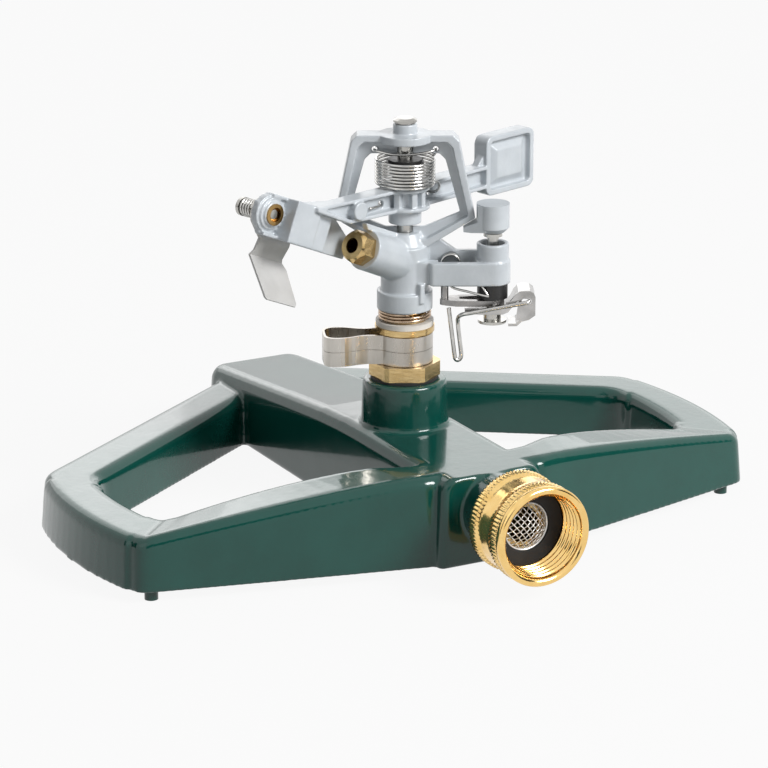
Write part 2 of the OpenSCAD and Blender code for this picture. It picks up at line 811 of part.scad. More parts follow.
// A place in the jet's frame, as a place in the head's frame
function from_jet(x, y, z) = [x * cos(jet_turn) - y * sin(jet_turn), x * sin(jet_turn) + y * cos(jet_turn), z];

// The tail passes behind the arm's hub, through a hole in the web of each limb
function arm_spring_tail() = [
    from_jet(19, 2, tail_hole_z + 0.2), from_jet(15, 1.6, tail_hole_z), from_jet(12.6, 1.2, tail_hole_z),
    from_jet(tail_hole_x, 0.2, tail_hole_z), from_jet(tail_hole_x - 0.8, -2, tail_hole_z),
    from_jet(6, -5.9, tail_hole_z), from_jet(0, -7.2, tail_hole_z), from_jet(-6, -5.9, tail_hole_z),
    from_jet(-tail_hole_x + 0.8, -2, tail_hole_z), from_jet(-tail_hole_x, -0.6, tail_hole_z),
    from_jet(-tail_hole_x, 1.4, tail_hole_z + 0.2), from_jet(-tail_hole_x + 0.1, 3.6, tail_hole_z + 0.9),
    from_jet(-tail_hole_x + 0.6, 5.3, limb_top - 1.8), from_jet(-tail_hole_x + 1.7, 5.9, limb_top - 0.1)
];

// The head end comes through the web, lies in front of it and goes back through it
function arm_spring_head() = [
    [spring_hole_x, 2.4, arm_coil_high + 1], [spring_hole_x, 1.6, spring_hole_z - 0.2],
    [spring_hole_x, 0, spring_hole_z], [spring_hole_x - 0.2, -1.7, spring_hole_z],
    [spring_hole_x - 2.2, -3, spring_hole_z - 0.4], [4, -3.8, spring_hole_z - 0.9],
    [0, -4, spring_hole_z - 1.2], [-4, -3.8, spring_hole_z - 1.1],
    [-spring_hole_x + 2.2, -3, spring_hole_z - 0.5], [-spring_hole_x + 0.2, -1.7, spring_hole_z - 0.1],
    [-spring_hole_x, 0, spring_hole_z], [-spring_hole_x, 2.2, spring_hole_z]
];

module arm_spring() {
    path = concat(
        arm_spring_tail(),
        coil(arm_coil_r, arm_turns, arm_pitch, arm_coil_low, arm_coil_from, 24, -1),
        arm_spring_head()
    );
    echo("arm spring, least gap to itself", least_gap(path, arm_wire_d, 12));
    color(steel)
    at_head() wire(path, arm_wire_d);
}

// Sleeve with a black washer on it, between the arm and the bridge
module spring_bushing() {
    top = arm_coil_high - 0.6;
    hole = pin_r + press_gap;
    color(black)
    at_head() {
        tube(4.4, hole, limb_top + 1 + face_gap, top - 1);
        tube(6.4, hole, top - 1.8, top - 0.9);
        tube(5.8, hole, top - 1, top);
    }
}

// Outline of the spoon limb's flanges, seen from above in the jet's frame
limb_tip = 42;
function limb_plan() = [
    [3, -limb_w / 2], [33, -limb_w / 2], [limb_tip - 1, -spoon_gap - spoon_t],
    [limb_tip + 4, -spoon_gap - spoon_t], [limb_tip, 1.4], [3, limb_w / 2]
];

module spoon_limb() {
    ramp = 28;
    intersection() {
        translate([0, 0, limb_low]) linear_extrude(limb_h) polygon(limb_plan());
        upright(60) union() {
            translate([0, limb_top - limb_t]) square([limb_tip + 4, limb_t]);
            polygon([
                [0, limb_low], [ramp, limb_low], [limb_tip, limb_top - limb_t - 0.2],
                [limb_tip, limb_top], [ramp - 0.5, limb_low + limb_t], [0, limb_low + limb_t]
            ]);
        }
    }
    upright_at(-0.6, 1.8)
        polygon([[3, limb_low], [ramp, limb_low], [limb_tip, limb_top - 1], [3, limb_top - 0.2]]);
    translate([24.4, 0.2, limb_low + limb_h / 2]) rotate([-90, 0, 0]) cylinder(h = 3.6, r = 3.1);
}

module weight_limb() {
    far = -paddle_at - 2;
    for (z = [limb_low, limb_top - limb_t])
        translate([0, 0, z]) linear_extrude(limb_t)
            polygon([[-3, -limb_w / 2], [-3, limb_w / 2], [far, paddle_t / 2], [far, -paddle_t / 2]]);
    upright_at(-0.6, 1.8) polygon([[-3, limb_low], [-3, limb_top], [far, limb_top], [far, limb_low]]);
    upright_at(0, 3)
        polygon([[-paddle_at + 4, limb_top - 1], [far, limb_top + 6], [far, limb_top - 1]]);
}

// The counterweight: a tray with a raised panel
module paddle() {
    frame = 2;
    depth = 2.2;
    panel = [paddle_l - 2 * frame - 3, paddle_h - 2 * frame - 2.4];
    mid_z = limb_low - 2.9 + paddle_h / 2;
    translate([-paddle_at - paddle_l / 2, 0, mid_z])
    rotate([-90, 0, 0]) {
        difference() {
            linear_extrude(paddle_t, center = true) rounded_rect([paddle_l, paddle_h], 3);
            translate([0, 0, paddle_t / 2 - depth]) linear_extrude(depth + 1)
                rounded_rect([paddle_l - 2 * frame, paddle_h - 2 * frame], 1.6);
        }
        translate([0, 0, paddle_t / 2 - depth - eps])
            hull() {
                linear_extrude(0.01) square(panel, center = true);
                translate([0, 0, depth - 0.5]) linear_extrude(0.01) square(panel - [5, 5], center = true);
            }
    }
}

// The spoon, in the frame of the rising jet
spoon_low = -5.2;
spoon_in = 22;
vane_in = 34;
block_in = 45.4;
block_out = 57.4;
screw_x = 62.2;
screw_up = 2.4;
spoon_boss = 2.6;
module spoon() {
    high = spoon_low + spoon_w;
    back = -spoon_gap - spoon_t;
    corner_cut = 4.5;
    upright_at(-spoon_gap - spoon_t / 2, spoon_t)
        polygon([
            [spoon_in, spoon_low], [spoon_end - corner_cut, spoon_low], [spoon_end, spoon_low + 6],
            [spoon_end, high - 4], [spoon_end - corner_cut, high], [vane_in, high], [spoon_in, spoon_low + 7]
        ]);
    translate([0, 0, spoon_low])
        linear_extrude(spoon_w)
            polygon(concat(
                [[vane_in, -spoon_gap - 1]],
                bend([vane_in, -spoon_gap + 1.4], [block_in - 8.5, -spoon_gap + 2.6], [block_in - 6.4, -1], 5),
                [[block_in - 6.4, -1], [block_in - 0.3, -0.8], [block_in, 0], [block_out, 0], [block_out, -spoon_gap - 1]]
            ));
    for (ring = [[6.4, 0.8], [5.3, 1.7], [4.2, spoon_boss]])
        translate([screw_x, back, screw_up]) rotate([-90, 0, 0]) cylinder(h = spoon_t + ring[1], r = ring[0]);
    translate([screw_x, back - 3.4, screw_up]) rotate([-90, 0, 0]) cylinder(h = 3.4 + spoon_t, r = 3.4);
    translate([vane_in - 3, -spoon_gap - 1, high - 1.2]) cube([block_in - vane_in + 3.5, spoon_gap + 0.8, 1.2]);
    for (z = [spoon_low, high - 1.2])
        translate([block_out - 1, -spoon_gap - 1, z]) cube([spoon_end - corner_cut - block_out + 1, 3, 1.2]);
}

hub_r = 5;
disc_r = 8.5;
lower_hub_r = 5.6;
bush_r = 3.6;
hub_low = seat_z + 3.1;
module impulse_arm() {
    color(zinc)
    difference() {
        union() {
            at_jet() {
                translate([0, 0, hub_low]) cylinder(h = limb_low - hub_low + 1, r = lower_hub_r);
                translate([0, 0, limb_low]) cylinder(h = limb_top - limb_low, r = hub_r);
                translate([0, 0, limb_low]) cylinder(h = limb_t, r = disc_r);
                translate([0, 0, limb_top - limb_t]) cylinder(h = limb_t, r = disc_r);
                spoon_limb();
                weight_limb();
                paddle();
            }
            at_head()
                for (a = [-112, -64, -32])
                    rotate([0, 0, a]) translate([4, -1.1, limb_low + 0.2]) cube([3.6, 2.2, limb_h - 0.4]);
            at_spoon() spoon();
        }
        at_jet() translate([0, 0, hub_low - 1]) cylinder(h = limb_top - hub_low + 3, r = bush_r);
        for (x = [-tail_hole_x, tail_hole_x])
            at_jet() translate([x, 0, tail_hole_z]) rotate([90, 0, 0]) cylinder(h = 8, r = 1.3, center = true);
        at_spoon() translate([screw_x, -spoon_gap - spoon_t - 6, screw_up]) rotate([-90, 0, 0])
            cylinder(h = 20, r = insert_r);
    }
}

module arm_bushings() {
    bush_l = 5;
    color(bronze)
    at_head() {
        tube(bush_r, pin_r + run_gap, hub_low, hub_low + bush_l);
        tube(bush_r, pin_r + run_gap, limb_top - bush_l, limb_top + 1);
    }
}

// Diffuser screw: along -y of the spoon's frame, in a brass insert
insert_r = 2.8;
module along_screw() {
    at_spoon() translate([screw_x, -spoon_gap - spoon_t, screw_up]) rotate([90, 0, 0]) children();
}

screw_seat = 3.4;
screw_spring_l = 6;
module screw_insert() {
    color(brass)
    along_screw()
    difference() {
        union() {
            translate([0, 0, -spoon_t - spoon_boss]) cylinder(h = screw_seat + spoon_t + spoon_boss, r = insert_r);
            translate([0, 0, -spoon_t - spoon_boss - 0.6]) cylinder(h = 0.6, r = insert_r + 0.8);
        }
        translate([0, 0, -spoon_t - spoon_boss - 1]) cylinder(h = 2.8, r = insert_r - 0.4);
        translate([0, 0, -spoon_t - 6]) cylinder(h = 20, r = screw_r + run_gap);
    }
}

screw_head_z = screw_seat + 0.1 + screw_spring_l;
module diffuser_screw() {
    color(steel)
    along_screw()
    difference() {
        union() {
            translate([0, 0, -spoon_t - spoon_boss + 0.3])
                cylinder(h = screw_head_z + spoon_t + spoon_boss, r = screw_r);
            translate([0, 0, screw_head_z]) cylinder(h = 1.3, r = 3.2);
            translate([0, 0, screw_head_z + 1.3]) cylinder(h = 0.9, r1 = 3.2, r2 = 2.2);
        }
        translate([-0.4, -4, screw_head_z + 1.2]) cube([0.8, 8, 2]);
    }
}

screw_turns = 4.25;
screw_pitch = (screw_spring_l - screw_wire_d - 0.1) / screw_turns;
module diffuser_spring() {
    path = coil(2.8, screw_turns, screw_pitch, screw_seat + 0.05 + screw_wire_d / 2, 0, 16);
    echo("diffuser spring, least gap to itself", least_gap(path, screw_wire_d, 10));
    color(steel)
    along_screw() wire(path, screw_wire_d);
}

// The bent sheet that hangs behind the spoon, in the frame of the rising jet
flap_pivot_r = 3.4;
module deflector_flap() {
    face = -spoon_gap - spoon_t - 0.1;
    fold = [face - 3.3, -12.3];
    foot = fold + flap_l * unit([9, -12.9]);
    knee = [face - flap_t / 2, -6];
    mid = face - flap_t / 2;
    color(steel)
    at_spoon()
    difference() {
        union() {
            upright_at(mid, flap_t)
                polygon([
                    [46.5, -6.2], [61.2, -6.2], [screw_x + 4.6, -1.5], [screw_x + 5.4, screw_up],
                    [screw_x + 3, screw_up + 4.6], [screw_x - 3, screw_up + 4.6], [46.5, 3]
                ]);
            intersection() {
                upright_at(0, 80)
                    polygon([
                        [46.5, -5.6], [61.2, -5.6], [59.8, -10.4], [60.4, fold[1]], [56.5, foot[1] + 0.6],
                        [55.6, foot[1]], [42.2, foot[1]], [41.2, foot[1] + 1.4], [43, fold[1] - 1.8],
                        [44.6, fold[1]], [45.6, -11]
                    ]);
                translate([screw_x, 0, 0]) rotate([90, 0, -90]) linear_extrude(60, center = true)
                    strip([[-mid, -5.6], [-mid, -6.2], [-fold[0], fold[1]], [-foot[0], foot[1]]], flap_t);
            }
        }
        translate([screw_x, mid, screw_up]) rotate([90, 0, 0])
            cylinder(h = 4, r = flap_pivot_r + run_gap, center = true);
    }
}

// A band of width t along the points of an open line
module strip(points, t) {
    n = len(points);
    sides = [for (i = [0 : n - 1])
        let (d = unit(points[min(i + 1, n - 1)] - points[max(i - 1, 0)])) [-d[1], d[0]] * t / 2];
    polygon(concat(
        [for (i = [0 : n - 1]) points[i] + sides[i]],
        [for (i = [n - 1 : -1 : 0]) points[i] - sides[i]]
    ));
}

module flap_washer() {
    color(steel)
    along_screw() tube(5, flap_pivot_r + run_gap, 0.1 + flap_t + 0.1, 0.1 + flap_t + 0.9);
}

// Trip mechanism, from the retaining washer up to the striker
bushing_r = 4;
bushing_low = bracket_z - 5.2;
striker_z = bracket_z + bracket_boss_h + 3.9;
shaft_low = bracket_z - 14.4;
module trip_shaft() {
    color(steel)
    at_trip() {
        translate([0, 0, shaft_low]) cylinder(h = striker_z + 5 - shaft_low, r = shaft_r);
        translate([0, 0, striker_z - 1.6]) cylinder(h = 1.1, r = shaft_r + 1.2);
    }
}

module trip_striker() {
    lug_x = 10;
    round_h = 1.6;
    color(zinc)
    at_trip()
    difference() {
        union() {
            translate([0, 0, striker_z]) cylinder(h = round_h, r1 = striker_r - 1.5, r2 = striker_r);
            translate([0, 0, striker_z + round_h]) cylinder(h = striker_h - round_h, r = striker_r);
            intersection() {
                translate([0, 0, striker_z]) linear_extrude(striker_h)
                    polygon([[-2.6, -4.7], [-lug_x, -1.5], [-lug_x, 1.5], [-2.6, 4.7], [2, 0]]);
                upright(20)
                    polygon([
                        [-lug_x - 1, striker_z - 0.4], [0, striker_z + 0.8], [0, striker_z + striker_h - 0.3],
                        [-5.3, striker_z + striker_h - 0.3], [-5.3, striker_z + 3.9], [-lug_x, striker_z + 1.4],
                        [-lug_x - 1, striker_z + 1.4]
                    ]);
            }
        }
        translate([0, 0, striker_z - eps]) cylinder(h = 5 + eps, r = shaft_r + press_gap);
    }
}

module trip_bushing() {
    color(black)
    at_trip() {
        tube(bushing_r, shaft_r + run_gap, bracket_z - 1, bracket_z + bracket_boss_h - 3);
        tube(5.2, shaft_r + run_gap, bushing_low, bracket_z);
    }
}

// Dark lever under the bracket: its far end holds the trip wire
trip_arm_z = bushing_low - 2.2;
wire_x = -13.2;
module trip_arm() {
    color(black)
    at_trip()
    difference() {
        union() {
            translate([0, 0, trip_arm_z]) linear_extrude(2)
                difference() {
                    union() {
                        polygon([[wire_x - 3, -3.2], [wire_x + 1, -4.6], [0, -4.8], [4, -3], [4, 3], [0, 4.8],
                            [wire_x - 1, 2.6], [wire_x - 3, 0.6]]);
                        translate([wire_x - 3, -1.3]) circle(1.6);
                    }
                    polygon([[wire_x + 2, -2], [-4.5, -2.8], [-4.5, 2.2], [wire_x + 2, 0.6]]);
                }
            translate([wire_x - 3, -1.3, trip_arm_z + 1]) cylinder(h = bracket_z - trip_arm_z - 1.5, r = 1.3);
        }
        translate([0, 0, trip_arm_z - 1]) cylinder(h = 4, r = shaft_r);
    }
}

// Stamped steel clip: a plate round the shaft that steps up at its end, with a deep front wall
clip_z = trip_arm_z - 2.4;
clip_end = 14.4;
clip_step = 7.4;
slot_x = 11.4;
slot_z = clip_z + 4.8;
module trip_clip() {
    t = 1;
    mid = clip_z + t / 2;
    top = clip_z + clip_step + t;
    color(steel)
    at_trip()
    difference() {
        union() {
            upright_at(-0.85, 10.1)
                strip([[-9.4, mid], [3.5, mid], [6.6, mid + 3.2], [7.7, mid + 5.6], [8.9, mid + clip_step - 0.5],
                    [10.4, mid + clip_step], [clip_end - 2, mid + clip_step - 0.2],
                    [clip_end - 0.9, mid + clip_step - 1], [clip_end - 0.5, mid + clip_step - 2.4],
                    [clip_end - 0.5, clip_z + 1.4]], t);
            upright_at(-5.8, t)
                polygon([
                    [-7, clip_z + 0.1], [-7, clip_z + 0.8], [4, clip_z + 2.4], [6.4, clip_z + 5.4],
                    [7.6, top - 1.2], [9, top - 0.2], [10.4, top], [clip_end - 1.9, top], [clip_end - 0.6, top - 0.8],
                    [clip_end, top - 2.2], [clip_end, clip_z - 0.2], [12.2, clip_z - 1.8], [9.8, clip_z - 2.4],
                    [7.8, clip_z - 1.6], [8.3, clip_z + 2], [8.7, clip_z + 4.8], [7.8, clip_z + 4.4],
                    [5.2, clip_z + 0.9], [3.4, clip_z + 0.1]
                ]);
            upright_at(-1, 9.4)
                strip([[5.3, clip_z - 3.7], [8, clip_z - 3.7], [10, clip_z - 1.8], [11.4, clip_z - 1.4]], t);
        }
        translate([0, 0, clip_z - 1]) cylinder(h = 4, r = shaft_r);
        translate([-9, -7, clip_z - 1]) rotate([0, 0, 35]) translate([-8, -4, 0]) cube([10, 4, 4]);
        upright_at(-5.8, 3) translate([slot_x, slot_z]) {
            square([1.6, 1.7], center = true);
            for (x = [-0.8, 0.8]) translate([x, 0]) circle(0.9);
        }
    }
}

module shaft_washer() {
    color(steel)
    at_trip() {
        tube(4.9, shaft_r, shaft_low + 0.4, shaft_low + 1.4);
        tube(3, shaft_r, shaft_low + 1.4, clip_z);
    }
}

// Toggle spring: an eye in the bracket's fork, with a bent leg to the lever
module toggle_spring() {
    eye_r = 3.4;
    eye_x = -14.2;
    color(steel)
    at_trip() {
        translate([eye_x, 0, bracket_z + 6.9]) rotate([90, 0, 0])
            difference() {
                cylinder(h = 3.2, r = eye_r, center = true);
                cylinder(h = 5, r = eye_r - 0.6, center = true);
            }
        translate([eye_x + eye_r - 0.6, -1.5, bracket_z - 3]) cube([0.6, 3, 9.9]);
        translate([eye_x + eye_r - 0.6, -1.5, bracket_z - 3]) cube([4.6, 3, 0.6]);
        translate([eye_x + eye_r + 3.4, -1.5, trip_arm_z + 2.15]) cube([0.6, 3, bracket_z - trip_arm_z - 4.6]);
    }
}

// The trip wire: a foot along the clip's front wall, then a long hanging loop up to the lever's tip
foot_y = -7.3;
foot_z = clip_z + 1.35;
foot_slope = 11;
function foot_at(x) = [x, foot_y, foot_z + (x + 5.4) * tan(foot_slope)];
function trip_wire_path() =
    let (
        low = foot_z + 1.3 - trip_wire_l,
        near = wire_x + 2.7,
        far = wire_x + 0.4,
        y = -3.6
    )
    [
        foot_at(slot_x), foot_at(3), foot_at(-5.4), [-9.4, foot_y + 0.2, foot_z - 0.7],
        [-11.1, foot_y + 1.3, foot_z - 1.7], [-11.7, y - 0.6, foot_z - 3.2], [-11.7, y, foot_z - 5],
        [near, y, low + 2.2], [near - 0.35, y, low + 0.6], [(near + far) / 2, y, low],
        [far + 0.35, y, low + 0.6], [far, y, low + 2.2],
        [wire_x - 1.6, y + 0.6, trip_arm_z - 0.15 - trip_wire_d / 2]
    ];

module trip_wire() {
    echo("trip wire, least gap to itself", least_gap(trip_wire_path(), trip_wire_d, 4));
    color(steel)
    at_trip() wire(trip_wire_path(), trip_wire_d, 8);
}

base_casting();
base_feet();
inlet_nipple();
coupling_nut();
inlet_washer();
inlet_screen();
sleeve_gasket();
bearing_sleeve();
lower_collar();
upper_collar();
bearing_tube();
thrust_washers();
riser_washer();
riser_spring();
head_body();
nozzle();
fulcrum_pin();
arm_spring();
spring_bushing();
impulse_arm();
arm_bushings();
screw_insert();
diffuser_screw();
diffuser_spring();
deflector_flap();
flap_washer();
trip_shaft();
trip_striker();
trip_bushing();
trip_arm();
trip_clip();
shaft_washer();
toggle_spring();
trip_wire();
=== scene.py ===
"""Looks of the impulse sprinkler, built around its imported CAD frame."""
import math

import bmesh
import bpy
from mathutils import Matrix, Vector


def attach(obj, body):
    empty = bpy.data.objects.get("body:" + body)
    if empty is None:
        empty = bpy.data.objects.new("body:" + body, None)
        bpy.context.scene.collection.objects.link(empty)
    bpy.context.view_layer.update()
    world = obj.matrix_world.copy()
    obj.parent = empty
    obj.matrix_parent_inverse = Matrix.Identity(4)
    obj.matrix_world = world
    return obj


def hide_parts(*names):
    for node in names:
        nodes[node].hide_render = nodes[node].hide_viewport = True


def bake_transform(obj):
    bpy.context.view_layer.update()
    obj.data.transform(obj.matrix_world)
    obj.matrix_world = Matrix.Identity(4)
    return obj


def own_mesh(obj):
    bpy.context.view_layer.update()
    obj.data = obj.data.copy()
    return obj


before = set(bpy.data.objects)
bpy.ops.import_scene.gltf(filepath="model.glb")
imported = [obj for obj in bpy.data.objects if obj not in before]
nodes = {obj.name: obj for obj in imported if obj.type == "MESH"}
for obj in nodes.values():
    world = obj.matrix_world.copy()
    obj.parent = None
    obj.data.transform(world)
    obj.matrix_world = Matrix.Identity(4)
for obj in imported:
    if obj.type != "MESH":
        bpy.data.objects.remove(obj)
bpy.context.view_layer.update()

# Places, in millimetres
MM = 0.001
RISER_Y = -10.75
HEAD_TURN = -28.0
JET_TURN = 225.0
JET_RISE = 23.0
SKIRT_Z = 75.65
JET_Z = SKIRT_Z + 16.1
BRIDGE_Z = SKIRT_Z + 61
LIMB_TOP = SKIRT_Z + 43.1
BRACKET_Z = SKIRT_Z + 9.8
TRIP_X, TRIP_Y = 29.7, -3.0
LEVER_Z = BRACKET_Z - 7.4
CLIP_Z = LEVER_Z - 2.4
SCREW_X, SCREW_UP = 62.2, 2.4
SPOON_BACK = -9.2
INLET_Z = 23.0


def turn(angle, axis):
    return Matrix.Rotation(math.radians(angle), 4, axis)


def move(x, y, z):
    return Matrix.Translation((x, y, z))


RISER = move(0, RISER_Y, 0)
HEAD = RISER @ turn(HEAD_TURN, "Z")
JET = HEAD @ turn(JET_TURN, "Z")
SPOON = JET @ move(0, 0, JET_Z) @ turn(-JET_RISE, "Y")
TRIP = HEAD @ move(TRIP_X, TRIP_Y, 0)
SCREW = SPOON @ move(SCREW_X, SPOON_BACK, SCREW_UP) @ turn(90, "X")
INLET = move(0, RISER_Y, INLET_Z) @ turn(90, "X")


# Mesh helpers: everything is made in millimetres and placed in metres
def new_object(name, verts, faces, place=None):
    mesh = bpy.data.meshes.new(name)
    place = place or Matrix.Identity(4)
    mesh.from_pydata([(place @ Vector(v)) * MM for v in verts], [], faces)
    mesh.validate()
    mesh.shade_smooth()
    obj = bpy.data.objects.new(name, mesh)
    bpy.context.scene.collection.objects.link(obj)
    return obj


def loft(rings, closed_path=False):
    """Vertices and faces of a solid through rings of points with the same count."""
    n, m = len(rings), len(rings[0])
    verts = [p for ring in rings for p in ring]
    faces = []
    last = n if closed_path else n - 1
    for i in range(last):
        for j in range(m):
            a, b = i * m + j, i * m + (j + 1) % m
            c, d = ((i + 1) % n) * m + (j + 1) % m, ((i + 1) % n) * m + j
            faces.append((a, b, c, d))
    if not closed_path:
        faces.append(tuple(range(m - 1, -1, -1)))
        faces.append(tuple((n - 1) * m + j for j in range(m)))
    return verts, faces


def fix_normals(obj):
    bm = bmesh.new()
    bm.from_mesh(obj.data)
    bmesh.ops.recalc_face_normals(bm, faces=bm.faces)
    bm.to_mesh(obj.data)
    bm.free()
    return obj


def loft_object(name, rings, place=None, closed_path=False):
    verts, faces = loft(rings, closed_path)
    return fix_normals(new_object(name, verts, faces, place))


def lathe(name, profile, place=None, steps=96):
    """Turns a closed profile of (radius, height) round Z."""
    rings = []
    for i in range(steps):
        a = 2 * math.pi * i / steps
        rings.append([(r * math.cos(a), r * math.sin(a), z) for r, z in profile])
    return loft_object(name, rings, place, closed_path=True)


def tube(name, path, radius, place=None, sides=12):
    """A round wire along a path of points, kept from twisting."""
    pts = [Vector(p) for p in path]
    n = len(pts)
    rings = []
    up = Vector((0, 0, 1))
    for i in range(n):
        d = (pts[min(i + 1, n - 1)] - pts[max(i - 1, 0)]).normalized()
        if i == 0 and abs(d.dot(up)) > 0.9:
            up = Vector((1, 0, 0))
        across = d.cross(up).normalized()
        up = across.cross(d).normalized()
        ring = []
        for j in range(sides):
            a = 2 * math.pi * j / sides
            ring.append(tuple(pts[i] + radius * (math.cos(a) * across + math.sin(a) * up)))
        rings.append(ring)
    return loft_object(name, rings, place)


def smooth_path(points, per=8):
    """A smooth curve through points."""
    pts = [Vector(p) for p in points]
    out = []
    for i in range(len(pts) - 1):
        p0 = pts[max(i - 1, 0)]
        p1, p2 = pts[i], pts[i + 1]
        p3 = pts[min(i + 2, len(pts) - 1)]
        for k in range(per):
            t = k / per
            out.append(0.5 * (2 * p1 + (p2 - p0) * t + (2 * p0 - 5 * p1 + 4 * p2 - p3) * t * t
                              + (3 * p1 - p0 - 3 * p2 + p3) * t ** 3))
    out.append(pts[-1])
    return out


def copy_of(node, name):
    """A new piece that starts as a copy of a CAD node's mesh."""
    obj = bpy.data.objects.new(name, nodes[node].data.copy())
    bpy.context.scene.collection.objects.link(obj)
    return obj


def join(name, objs):
    """One object from several, which are removed."""
    bm = bmesh.new()
    for o in objs:
        bm.from_mesh(o.data)
    mesh = bpy.data.meshes.new(name)
    bm.to_mesh(mesh)
    bm.free()
    mesh.shade_smooth()
    obj = bpy.data.objects.new(name, mesh)
    bpy.context.scene.collection.objects.link(obj)
    for o in objs:
        bpy.data.objects.remove(o)
    return obj


def apply_modifiers(obj):
    deps = bpy.context.evaluated_depsgraph_get()
    mesh = bpy.data.meshes.new_from_object(obj.evaluated_get(deps))
    obj.modifiers.clear()
    obj.data = mesh


def boolean(obj, other, operation):
    mod = obj.modifiers.new("b", "BOOLEAN")
    mod.operation = operation
    mod.solver = "MANIFOLD"
    mod.object = other
    apply_modifiers(obj)
    bpy.data.objects.remove(other)


def cast(obj, voxel, rounds):
    """Rounds a solid's edges and fills its corners, the way a casting has them."""
    remesh = obj.modifiers.new("cast", "REMESH")
    remesh.mode = "VOXEL"
    remesh.voxel_size = voxel * MM
    remesh.use_smooth_shade = True
    soft = obj.modifiers.new("soft", "SMOOTH")
    soft.factor = 0.5
    soft.iterations = rounds
    apply_modifiers(obj)
    obj.data.shade_smooth()


def bevelled(obj, width, segments=3, angle=35):
    mod = obj.modifiers.new("bevel", "BEVEL")
    mod.width = width * MM
    mod.segments = segments
    mod.limit_method = "ANGLE"
    mod.angle_limit = math.radians(angle)
    mod.harden_normals = False
    obj.data.shade_smooth()


def finish_piece(obj, body, material, *replaced, slot=None):
    obj.data.materials.clear()
    obj.data.materials.append(material)
    if body:
        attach(obj, body)
    if replaced:
        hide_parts(*replaced)


# Materials
def new_material(name):
    mat = bpy.data.materials.new(name)
    mat.use_nodes = True
    tree = mat.node_tree
    return mat, tree, tree.nodes["Principled BSDF"]


def noise(tree, scale, detail=4.0, stretch=None):
    coords = tree.nodes.new("ShaderNodeTexCoord")
    source = coords.outputs["Object"]
    if stretch:
        mapping = tree.nodes.new("ShaderNodeMapping")
        mapping.inputs["Scale"].default_value = stretch
        tree.links.new(source, mapping.inputs["Vector"])
        source = mapping.outputs["Vector"]
    tex = tree.nodes.new("ShaderNodeTexNoise")
    tex.inputs["Scale"].default_value = scale
    tex.inputs["Detail"].default_value = detail
    tex.inputs["Roughness"].default_value = 0.55
    tree.links.new(source, tex.inputs["Vector"])
    return tex.outputs["Fac"]


def ramp(tree, source, stops):
    node = tree.nodes.new("ShaderNodeValToRGB")
    while len(node.color_ramp.elements) < len(stops):
        node.color_ramp.elements.new(0.5)
    for element, (place, colour) in zip(node.color_ramp.elements, stops):
        element.position = place
        element.color = (*colour, 1)
    tree.links.new(source, node.inputs["Fac"])
    return node.outputs["Color"]


def grey(v):
    return (v, v, v)


def bump(tree, shader, source, strength, distance):
    node = tree.nodes.new("ShaderNodeBump")
    node.inputs["Strength"].default_value = strength
    node.inputs["Distance"].default_value = distance
    tree.links.new(source, node.inputs["Height"])
    tree.links.new(node.outputs["Normal"], shader.inputs["Normal"])


def green_paint():
    mat, tree, shader = new_material("green_gloss_paint")
    base = ramp(tree, noise(tree, 60), [(0.3, (0.0028, 0.056, 0.043)), (0.7, (0.0040, 0.068, 0.053))])
    tree.links.new(base, shader.inputs["Base Color"])
    rough = ramp(tree, noise(tree, 140), [(0.3, grey(0.13)), (0.75, grey(0.22))])
    tree.links.new(rough, shader.inputs["Roughness"])
    shader.inputs["Specular IOR Level"].default_value = 0.2
    shader.inputs["Coat Weight"].default_value = 0.62
    shader.inputs["Coat Roughness"].default_value = 0.06
    bump(tree, shader, noise(tree, 420, 2.0), 0.12, 0.0004)
    return mat


def zinc_paint():
    mat, tree, shader = new_material("grey_zinc_paint")
    base = ramp(tree, noise(tree, 90), [(0.3, (0.47, 0.505, 0.535)), (0.7, (0.56, 0.595, 0.625))])
    tree.links.new(base, shader.inputs["Base Color"])
    rough = ramp(tree, noise(tree, 300), [(0.3, grey(0.28)), (0.75, grey(0.42))])
    tree.links.new(rough, shader.inputs["Roughness"])
    shader.inputs["Metallic"].default_value = 0.07
    shader.inputs["Coat Weight"].default_value = 0.25
    shader.inputs["Coat Roughness"].default_value = 0.12
    bump(tree, shader, noise(tree, 700, 3.0), 0.25, 0.0002)
    return mat


def metal(name, low, high, rough_low, rough_high, scale=200, stretch=None, metallic=1.0):
    mat, tree, shader = new_material(name)
    base = ramp(tree, noise(tree, scale, stretch=stretch), [(0.3, low), (0.7, high)])
    tree.links.new(base, shader.inputs["Base Color"])
    fine = noise(tree, scale * 1.7, stretch=stretch)
    rough = ramp(tree, fine, [(0.3, grey(rough_low)), (0.75, grey(rough_high))])
    tree.links.new(rough, shader.inputs["Roughness"])
    shader.inputs["Metallic"].default_value = metallic
    bump(tree, shader, noise(tree, 900, 2.0, stretch=stretch), 0.15, 0.00015)
    return mat


def plain(name, low, high, rough_low, rough_high, scale=300):
    mat, tree, shader = new_material(name)
    base = ramp(tree, noise(tree, scale), [(0.3, low), (0.7, high)])
    tree.links.new(base, shader.inputs["Base Color"])
    rough = ramp(tree, noise(tree, scale * 2), [(0.3, grey(rough_low)), (0.7, grey(rough_high))])
    tree.links.new(rough, shader.inputs["Roughness"])
    bump(tree, shader, noise(tree, 1200, 2.0), 0.2, 0.0001)
    return mat


